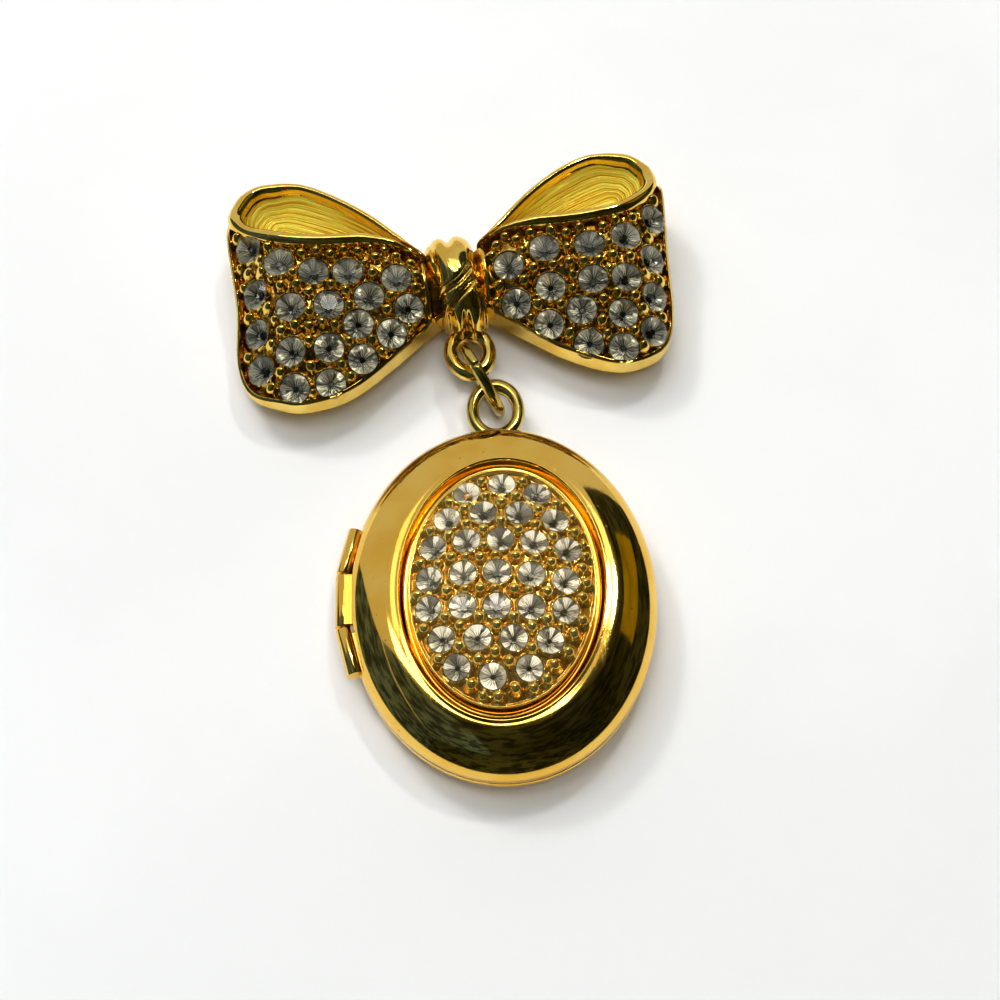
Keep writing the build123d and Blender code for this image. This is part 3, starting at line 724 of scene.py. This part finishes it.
def on_edge(edge, share):
    """Points of an edge, at shares of its length."""
    row = np.linspace(0, 1, len(edge))
    return np.stack([np.interp(share[:, 0], row, edge[:, 0]), np.interp(share[:, 0], row, edge[:, 1])], 1)


def stone_field(loop, stones):
    """The stone-set front of a loop, with its border, down to the bow's flat back."""
    side, corner = loop["side"], loop["corner"]
    bottom = place_rows(loop["outline"], side, first_row, corner, edge_points)
    outer = place_rows(loop["outline"], side, corner, loop["end"], edge_points)
    top = place_rows(loop["lip_line"], side, 0, last_stop, edge_points) + (0, lip_cover)
    inner = bottom[0] + (top[0] - bottom[0]) * np.linspace(0, 1, edge_points)[:, None]
    field = bmesh.new()
    bmesh.ops.create_grid(field, x_segments=field_columns, y_segments=field_rows, size=0.5)
    place = np.array([vert.co[:] for vert in field.verts]) + 0.5
    u, v = place[:, :1], place[:, 1:2]
    corners = (bottom[0] * (1 - u) + bottom[-1] * u) * (1 - v) + (top[0] * (1 - u) + top[-1] * u) * v
    flat = (on_edge(bottom, u) * (1 - v) + on_edge(top, u) * v + on_edge(inner, v) * (1 - u)
            + on_edge(outer, v) * u - corners)
    apart = np.full(len(flat), 1.0)
    for point in np.concatenate([bottom, outer])[::2]:
        apart = np.minimum(apart, np.hypot(*(flat - point).T))
    plain = crown(loop["sections"], flat[:, 0], flat[:, 1])
    points = np.column_stack([flat, plain])

    local = [(bow_place.inverted() @ middle, bow_turned.inverted() @ axis, radius)
             for middle, axis, radius in stones]
    room = np.minimum(apart - border_width, np.abs(points[:, 0]) - bar_x - bar_half)
    for point in top[::2]:
        room = np.minimum(room, np.hypot(*(flat - point).T) + lip_cover)
    grains = grain_places(points, local, room)
    ground = set_stones(points, local, grains, bow_wall, bow_back + bow_skin)

    border = smooth((border_width - apart) / groove_half)
    groove = np.exp(-((apart - border_width - groove_half) / groove_half) ** 2)
    bar = np.exp(-((np.abs(points[:, 0]) - bar_x) / bar_half) ** 4)
    rounding = edge_drop * np.clip(1 - apart / edge_round, 0, 1) ** 2
    at_edge = smooth((border_width + groove_half - apart) / edge_fade)
    tucked = np.exp(-(np.hypot(*(flat - outer[-1]).T) / tuck_reach) ** 2)
    points[:, 2] = points[:, 2] * (1 - at_edge) + plain * at_edge
    points[:, 2] += (border_rise * border - groove_depth * groove - rounding + bar_rise * bar
                     - tuck_depth * tucked)
    write_points(field, points, ground * (1 - border) * (1 - bar))
    rim = [edge for edge in field.edges if edge.is_boundary]
    for below in (edge_roll, None):
        grown = bmesh.ops.extrude_edge_only(field, edges=rim)
        rim = new_parts(grown, bmesh.types.BMEdge)
        for vert in new_parts(grown, bmesh.types.BMVert):
            vert.co.z = vert.co.z - below if below else bow_back
            vert[field.verts.layers.float["ground"]] = 0
    bmesh.ops.contextual_create(field, geom=rim)
    bmesh.ops.transform(field, matrix=bow_place, verts=field.verts)
    return field


def even_out(rows, reach):
    """Rounds off a closed row of values."""
    return sum(np.roll(rows, shift, axis=0) for shift in range(-reach, reach + 1)) / (2 * reach + 1)


def lip_and_dish(loop):
    """The rolled lip round a loop's mouth, the dish inside it and the loop's back part below."""
    side = loop["side"]
    front = place_rows(loop["lip_line"], side, 0, len(loop["lip_line"]) - 1, front_points)
    back = place_rows(loop["outline"], side, loop["turn"], back_end, back_points)
    edge = even_out(np.concatenate([front, back]), mouth_evened)
    width = even_out(np.concatenate([np.full(count, wide) for count, wide in lip_widths]), lip_evened) * mm
    spine = np.array(loop["spine"]) * (side * loop_reach, loop_half)
    run = spine[1] - spine[0]
    along = np.clip((edge - spine[0]) @ run / (run @ run), 0, 1)[:, None]
    nearest = spine[0] + run * along
    inward = nearest - edge
    deep = np.hypot(*inward.T)
    width = np.minimum(width, widest_lip * deep)
    top = even_out(crown(loop["sections"], edge[:, 0], edge[:, 1]), lip_evened) + lip_rise
    foot = top - lip_round * width
    rings = [(edge, np.full(len(edge), bow_back)), (edge, foot)]
    for angle in np.linspace(0, pi, lip_rows + 1)[1:]:
        inset = width / 2 * (1 - cos(angle))
        rings.append((edge + inward * (inset / deep)[:, None], foot + lip_round * width * sin(angle)))
    start = rings[-1][0]
    lip_rings = len(rings)
    for share in np.linspace(0, 1, dish_rows + 1)[1:-1]:
        sunk = 1 - (1 - share) ** dish_fullness
        groove = dish_groove * sin(share * dish_ripples) * sin(share * pi)
        rings.append((start + (nearest - start) * share, foot + (bow_back + dish_floor - foot) * sunk + groove))

    lip = bmesh.new()
    order = lip.verts.layers.int.new("order")
    streak = lip.verts.layers.float.new("streak")
    made = bmesh.ops.create_circle(lip, segments=len(edge), radius=1)
    verts = made["verts"]
    for number, vert in enumerate(verts):
        vert[order] = number
    edges = first = lip.edges[:]
    for number, (flat, height) in enumerate(rings):
        if number:
            grown = bmesh.ops.extrude_edge_only(lip, edges=edges)
            edges = new_parts(grown, bmesh.types.BMEdge)
            verts = new_parts(grown, bmesh.types.BMVert)
        for vert in verts:
            vert.co = (*flat[vert[order]], height[vert[order]])
            vert[streak] = max(0, number - lip_rings) / dish_rows
    for face in lip.faces:
        face.material_index = 1 if min(vert[streak] for vert in face.verts) > 0.001 else 0
    bmesh.ops.contextual_create(lip, geom=first)
    bmesh.ops.contextual_create(lip, geom=edges, mat_nr=1)
    bmesh.ops.transform(lip, matrix=bow_place, verts=lip.verts)
    return lip


bow_turn = radians(6.2)
bow_turned = Matrix.Rotation(bow_turn, 3, "Z")
bow_place = Matrix.Translation((-3.25 * mm, 30.95 * mm, 0)) @ bow_turned.to_4x4()
bow_back = 3.0 * mm
bow_wall = 0.22 * mm
bow_skin = 0.2 * mm
loop_reach = 20.5 * mm
loop_half = 12.5 * mm
loop_rise = 4.6 * mm
furthest_back = 1.2
first_row, last_stop = 13.75, 10
fine_points, edge_points = 600, 260
field_columns, field_rows = 280, 200
border_rise = 0.25 * mm
border_width = 0.38 * mm
groove_depth, groove_half = 0.15 * mm, 0.12 * mm
edge_drop, edge_round = 0.12 * mm, 0.20 * mm
edge_fade = 0.15 * mm
edge_roll = 0.10 * mm
tuck_depth, tuck_reach = 1.1 * mm, 1.2 * mm
bar_x, bar_rise, bar_half = 2.75 * mm, 0.45 * mm, 0.30 * mm
lip_cover = 0.1 * mm
lip_rise = 0.85 * mm
lip_round = 0.60
lip_rows = 10
lip_widths = ((190, 1.40), (50, 1.20), (180, 0.80))  # points along the mouth, and mm
widest_lip = 0.75
back_end = 0.9
front_points, back_points = 180, 240
mouth_evened, lip_evened = 4, 16
dish_rows = 40
dish_floor = 1.5 * mm
dish_fullness = 2.6
dish_groove = 0.05 * mm
dish_ripples = 43
bow_gold = cast_gold("bow_gold", (0.95, 0.71, 0.20, 1), (0.90, 0.60, 0.12, 1), (0.30, 0.14, 0.015, 1),
                     0.07, 1.0)
# The dish's brush streaks are bumps, and are also painted as dark orange and bright yellow bands: painted
# sheen.
brushed = Finish("brushed_gold")
brush_row = brushed.add("ShaderNodeCombineXYZ", {}, {"X": brushed.mark("streak") * 38.0})
brush_drift = brushed.add("ShaderNodeVectorMath", {"operation": "MULTIPLY"},
                          {0: brushed.place(), 1: (230, 230, 0)})
brush_line = brushed.add("ShaderNodeVectorMath", {"operation": "ADD"}, {0: brush_drift, 1: brush_row})
brush_marks_and_sheen = brushed.mottle(brush_line, 1.0, 4.0)
brushed_gold = brushed.done({
    "Base Color": brushed.blend(brushed.spread(brush_marks_and_sheen, 0.40, 0.56), (0.74, 0.36, 0.01, 1), (1.0, 0.92, 0.16, 1)),
    "Metallic": 0.45,
    "Roughness": 0.20 + brush_marks_and_sheen * 0.12,
    "Normal": brushed.bump(brush_marks_and_sheen, 0.16 * mm),
})
# The loops' tables count out in loop_reach, up in loop_half and rises in loop_rise.
loops = {
    "right": {
        "side": 1, "corner": 9.3, "end": 5.7, "turn": 5.55, "spine": ((0.24, 0.39), (0.78, 0.68)),
        "sections": (  # out, low, lip, back, low_rise, lip_rise, back_rise, bulge
            (0.00, -0.22, 0.10, 0.22, 0.16, 0.50, 0.46, 0.12),
            (0.15, -0.33, 0.20, 0.39, 0.20, 0.84, 0.68, 0.18),
            (0.35, -0.56, 0.33, 0.72, 0.22, 0.96, 0.70, 0.22),
            (0.58, -0.81, 0.35, 0.99, 0.22, 1.00, 0.68, 0.24),
            (0.82, -0.80, 0.43, 1.06, 0.20, 1.00, 0.66, 0.16),
            (0.94, -0.66, 0.55, 0.98, 0.11, 0.88, 0.62, -0.05),
            (1.05, -0.55, 0.66, 0.92, 0.00, 0.64, 0.56, -0.15),
        ),
        "outline": (  # out, up
            (0.00, 0.18), (0.14, 0.33), (0.40, 0.74), (0.63, 0.98), (0.82, 1.01), (0.93, 0.92), (0.997, 0.66),
            (0.97, 0.07), (0.949, -0.36), (0.90, -0.62), (0.80, -0.75), (0.64, -0.77), (0.43, -0.60),
            (0.15, -0.24), (0.00, -0.14),
        ),
        "lip_line": (  # out, up
            (0.100, 0.270), (0.185, 0.322), (0.266, 0.343), (0.397, 0.327), (0.530, 0.315), (0.664, 0.322),
            (0.802, 0.362), (0.885, 0.443), (0.945, 0.541), (0.975, 0.640), (0.985, 0.730),
        ),
    },
    "left": {
        "side": -1, "corner": 9.3, "end": 5.72, "turn": 5.1, "spine": ((0.24, 0.38), (0.74, 0.74)),
        "sections": (
            (0.00, -0.20, 0.04, 0.16, 0.16, 0.50, 0.46, 0.12),
            (0.15, -0.37, 0.14, 0.34, 0.20, 0.84, 0.68, 0.18),
            (0.35, -0.63, 0.31, 0.73, 0.22, 0.96, 0.70, 0.22),
            (0.58, -0.84, 0.43, 1.03, 0.22, 1.00, 0.68, 0.24),
            (0.82, -0.83, 0.60, 1.11, 0.20, 1.00, 0.66, 0.16),
            (0.94, -0.72, 0.80, 1.04, 0.11, 0.88, 0.62, -0.05),
            (1.05, -0.60, 0.88, 1.00, 0.00, 0.64, 0.56, -0.15),
        ),
        "outline": (
            (0.00, 0.08), (0.13, 0.26), (0.35, 0.68), (0.60, 1.00), (0.80, 1.07), (0.92, 0.97), (0.989, 0.70),
            (0.98, 0.07), (1.00, -0.34), (0.96, -0.62), (0.84, -0.76), (0.70, -0.81), (0.48, -0.71),
            (0.13, -0.28), (0.00, -0.14),
        ),
        "lip_line": (
            (0.100, 0.190), (0.163, 0.235), (0.252, 0.305), (0.366, 0.340), (0.483, 0.348), (0.599, 0.362),
            (0.715, 0.400), (0.807, 0.455), (0.889, 0.545), (0.955, 0.660), (0.979, 0.765), (0.960, 0.880),
        ),
    },
}
for name, loop in loops.items():
    field = stone_field(loop, stone_fields[name + "_stones"])
    make_piece(name + "_field", field, [bow_gold], "brooch", ["bow"], 60)
    make_piece(name + "_lip", lip_and_dish(loop), [bow_gold, brushed_gold], "brooch", ["bow"], 50)

# Knot: one plump roll, cast in one with the bow, that wraps round its middle. Valleys pressed into it part
# its two shallow lobes, the slanting band and the lower fold. A round wire loop is cast on below it.
knot_edges = (  # along, left edge, right edge, in mm
    (-5.6, -0.9, 2.1), (-5.0, -1.3, 2.6), (-3.6, -1.75, 2.95), (-2.3, -1.85, 2.65), (-0.5, -1.95, 2.10),
    (1.2, -2.25, 1.95), (2.6, -2.60, 2.15), (4.0, -2.75, 2.30), (4.8, -2.60, 2.30), (5.6, -2.30, 2.15),
)
knot_valleys = (  # width, then across, along and depth at each point, in mm
    (0.45, (-0.30, 5.6, 0.60), (-0.33, 4.2, 0.50), (-0.30, 2.8, 0.30), (-0.20, 1.4, 0.0)),
    (0.24, (2.3, 1.3, 0.1), (1.55, 0.45, 0.5), (0.9, -0.6, 0.7), (0.2, -1.37, 0.75), (-0.6, -1.75, 0.75),
     (-1.6, -1.95, 0.6)),
    (0.14, (2.2, 0.5, 0.1), (0.9, -1.35, 0.2), (-0.2, -2.25, 0.2), (-1.3, -2.8, 0.1)),
    (0.24, (2.6, -0.2, 0.4), (1.81, -0.9, 0.65), (0.6, -2.15, 0.75), (-0.45, -3.05, 0.75), (-1.5, -3.9, 0.5)),
    (0.38, (0.45, -3.3, 0.0), (0.45, -4.3, 0.5), (0.45, -5.0, 0.8), (0.45, -5.6, 0.9)),
    (0.22, (1.95, -0.9, 0.3), (2.0, -2.6, 0.55), (2.2, -5.2, 0.55)),
    (0.22, (-1.0, -3.4, 0.5), (-0.9, -4.2, 0.55), (-0.7, -5.4, 0.55)),
    (0.20, (-1.95, 4.6, 0.15), (-1.85, 2.8, 0.40), (-1.72, 1.2, 0.50), (-1.6, -0.6, 0.4)),
    (0.20, (1.95, 4.2, 0.0), (1.80, 2.8, 0.40), (1.65, 1.4, 0.45)),
)
knot_middle = 4.6 * mm
knot_ridge = 1.3 * mm
knot_far = 4.15 * mm
knot_near = 6.6 * mm
knot_up = 4.20 * mm
knot_fullness = 0.55
knot_squareness = 0.8
knot = bmesh.new()
bmesh.ops.create_uvsphere(knot, u_segments=160, v_segments=110, radius=1,
                          matrix=Matrix.Rotation(pi / 2, 4, "Y"))
points = np.array([vert.co[:] for vert in knot.verts])
wrap = np.arctan2(points[:, 1], points[:, 2])
full = np.hypot(points[:, 1], points[:, 2]) ** knot_fullness
along = knot_ridge + np.where(wrap > 0, knot_far, knot_near) * np.sin(wrap) * full
edges = np.array(knot_edges) * mm
left, right = (np.interp(along, edges[:, 0], edges[:, k]) for k in (1, 2))
sideways = np.sign(points[:, 0]) * np.abs(points[:, 0]) ** knot_squareness
across = (left + right) / 2 + (right - left) / 2 * sideways
pressed = np.zeros(len(points))
for width, *line in knot_valleys:
    for x, y, deep in table_line(line, np.linspace(0, len(line) - 1, 60)) * mm:
        away = np.hypot(across - x, along - y) / (width * mm)
        pressed = np.maximum(pressed, deep * np.exp(-away ** 2))
along -= pressed * np.sin(wrap) * full
heights = knot_middle + (knot_up - pressed) * np.cos(wrap) * full
for vert, place in zip(knot.verts, np.column_stack([across, along, heights])):
    vert.co = place
bmesh.ops.transform(knot, matrix=bow_place, verts=knot.verts)
make_piece("knot", knot, [bow_gold], "brooch", ["bow"])

hang_width = 4.7 * mm
hang_length = 5.6 * mm
hang_wire = 1.25 * mm
hang_place = Matrix.Translation((0.44 * mm, -6.3 * mm, 3.85 * mm))
hang = bmesh.new()
wire_ring(hang, hang_width, hang_length, hang_wire, bow_place @ hang_place)
make_piece("hanging_loop", hang, [bow_gold], "brooch", ["bow"])


# Table: a plain pale surface. Dark cards stand where the room is dark in the metal's reflections, a warm
# one where it is yellow, and bright ones for the ceiling and the window.
def card(name, corners, colour, glow, uneven):
    """A stage card through four corners, in metres, with cloudy patches that are darker by a share."""
    bm = bmesh.new()
    bmesh.ops.create_grid(bm, x_segments=1, y_segments=1, size=0.5)
    for vert in bm.verts:
        u, v = vert.co.x + 0.5, vert.co.y + 0.5
        low = Vector(corners[0]).lerp(Vector(corners[1]), u)
        vert.co = low.lerp(Vector(corners[3]).lerp(Vector(corners[2]), u), v)
    mesh = bpy.data.meshes.new(name)
    bm.to_mesh(mesh)
    bm.free()
    paint = Finish(name)
    cloud = paint.spread(paint.mottle(paint.place(), 0.06, 5.0), 0.42, 0.58)
    tone = paint.blend(cloud, colour, tuple(part * (1 - uneven) for part in colour[:3]) + (1,))
    mesh.materials.append(paint.done({
        "Base Color": tone, "Roughness": 0.8, "Emission Color": tone, "Emission Strength": glow,
    }))
    thing = bpy.data.objects.new(name, mesh)
    bpy.context.collection.objects.link(thing)
    return thing


dark = (0.034, 0.040, 0.020, 1)
bluish = (0.08, 0.12, 0.19, 1)
yellow = (0.20, 0.16, 0.002, 1)
daylight = (1, 1, 0.95, 1)
foot = 0.01
roof = 0.62
card("table", ((-1.5, -1.5, 0), (1.5, -1.5, 0), (1.5, 1.5, 0), (-1.5, 1.5, 0)), (0.88, 0.88, 0.88, 1), 0, 0.03)
for name, colour, glow, uneven, *corners in (
    ("front_shade", dark, 1, 0.9,
     (-0.55, -0.45, foot), (0.60, -0.45, foot), (0.80, -0.45, roof), (-0.62, -0.45, roof)),
    ("near_shade", dark, 1, 0.9,
     (-0.10, -0.45, roof), (0.10, -0.45, roof), (0.10, 0.17, roof), (-0.10, 0.19, roof)),
    ("near_left_shade", bluish, 1, 0.8,
     (-0.62, -0.45, roof), (-0.10, -0.45, roof), (-0.10, 0.19, roof), (-0.45, 0.235, roof)),
    ("top_shade", dark, 0.5, 0.9,
     (0.10, -0.45, roof), (0.80, -0.45, roof), (0.22, 0.54, roof), (0.10, 0.17, roof)),
    ("right_shade", dark, 0.5, 0.9,
     (0.60, -0.45, foot), (0.44, 0.48, foot), (0.22, 0.54, roof), (0.80, -0.45, roof)),
    ("left_shade", bluish, 0.7, 0.8,
     (-0.55, -0.45, foot), (-0.62, 0.44, foot), (-0.48, 0.235, roof), (-0.62, -0.45, roof)),
    ("warm_shade", yellow, 0.8, 0.3,
     (0.313, 0.074, 0.238), (0.283, 0.240, 0.149), (0.178, 0.225, 0.279), (0.181, 0.127, 0.334)),
    ("ceiling", daylight, 0.95, 0,
     (-0.14, 0.29, 0.64), (0.20, 0.29, 0.64), (0.20, 0.42, 0.64), (-0.14, 0.42, 0.64)),
    ("window", daylight, 5, 0,
     (-0.22, 0.215, 0.60), (0.10, 0.165, 0.60), (0.10, 0.205, 0.60), (-0.22, 0.275, 0.60)),
):
    shade = card(name, corners, colour, glow, uneven)
    shade.visible_camera = False
    shade.visible_shadow = False


# Light: an even pale room and square softboxes, the strongest from the upper left. The metal mirrors
# only the small lamp, because the bright parts of its room are cards.
def soft_light(name, place, size, energy, seen):
    """A square softbox aimed at the brooch. Polished metal mirrors it only if it is seen."""
    lamp = bpy.data.lights.new(name, "AREA")
    lamp.size = size
    lamp.energy = energy
    light = bpy.data.objects.new(name, lamp)
    light.location = place
    light.rotation_euler = (Vector((0, 0.01, 0)) - light.location).to_track_quat("-Z", "Y").to_euler()
    light.visible_glossy = seen
    bpy.context.collection.objects.link(light)


soft_light("lamp", (0.16, 0.30, 0.60), 0.045, 0.7, True)
soft_light("key_light", (-0.30, 0.36, 0.50), 0.10, 0.9, False)
soft_light("fill_light", (-0.30, 0.25, 0.85), 0.70, 2.55, False)
soft_light("top_light", (-0.06, -0.04, 0.62), 0.14, 0.6, False)
soft_light("front_light", (0.05, -0.22, 0.55), 0.20, 1.0, False)
world = bpy.data.worlds.new("room")
world.use_nodes = True
room_light = world.node_tree.nodes["Background"].inputs
room_light["Color"].default_value = (1.0, 0.99, 0.97, 1)
room_light["Strength"].default_value = 0.65
bpy.context.scene.world = world

# Camera: close above the brooch and looking down at it steeply, from where the photo was taken.
# The tone curve is a little harder than the plain one, as the photo's is.
camera_turn = radians(1.8)
camera_height = radians(60)
camera_far = 0.165
camera_aim = Vector((0.108, 9.801, 3.0)) * mm
camera_data = bpy.data.cameras.new("camera")
camera_data.lens = 68.31
camera_data.clip_start = 0.01
camera = bpy.data.objects.new("camera", camera_data)
ahead = Vector((sin(camera_turn) * cos(camera_height), cos(camera_turn) * cos(camera_height),
                -sin(camera_height)))
camera.location = camera_aim - ahead * camera_far
camera.rotation_euler = ahead.to_track_quat("-Z", "Y").to_euler()
bpy.context.collection.objects.link(camera)
bpy.context.scene.camera = camera
bpy.context.scene.view_settings.view_transform = "Standard"
bpy.context.scene.view_settings.gamma = 0.82
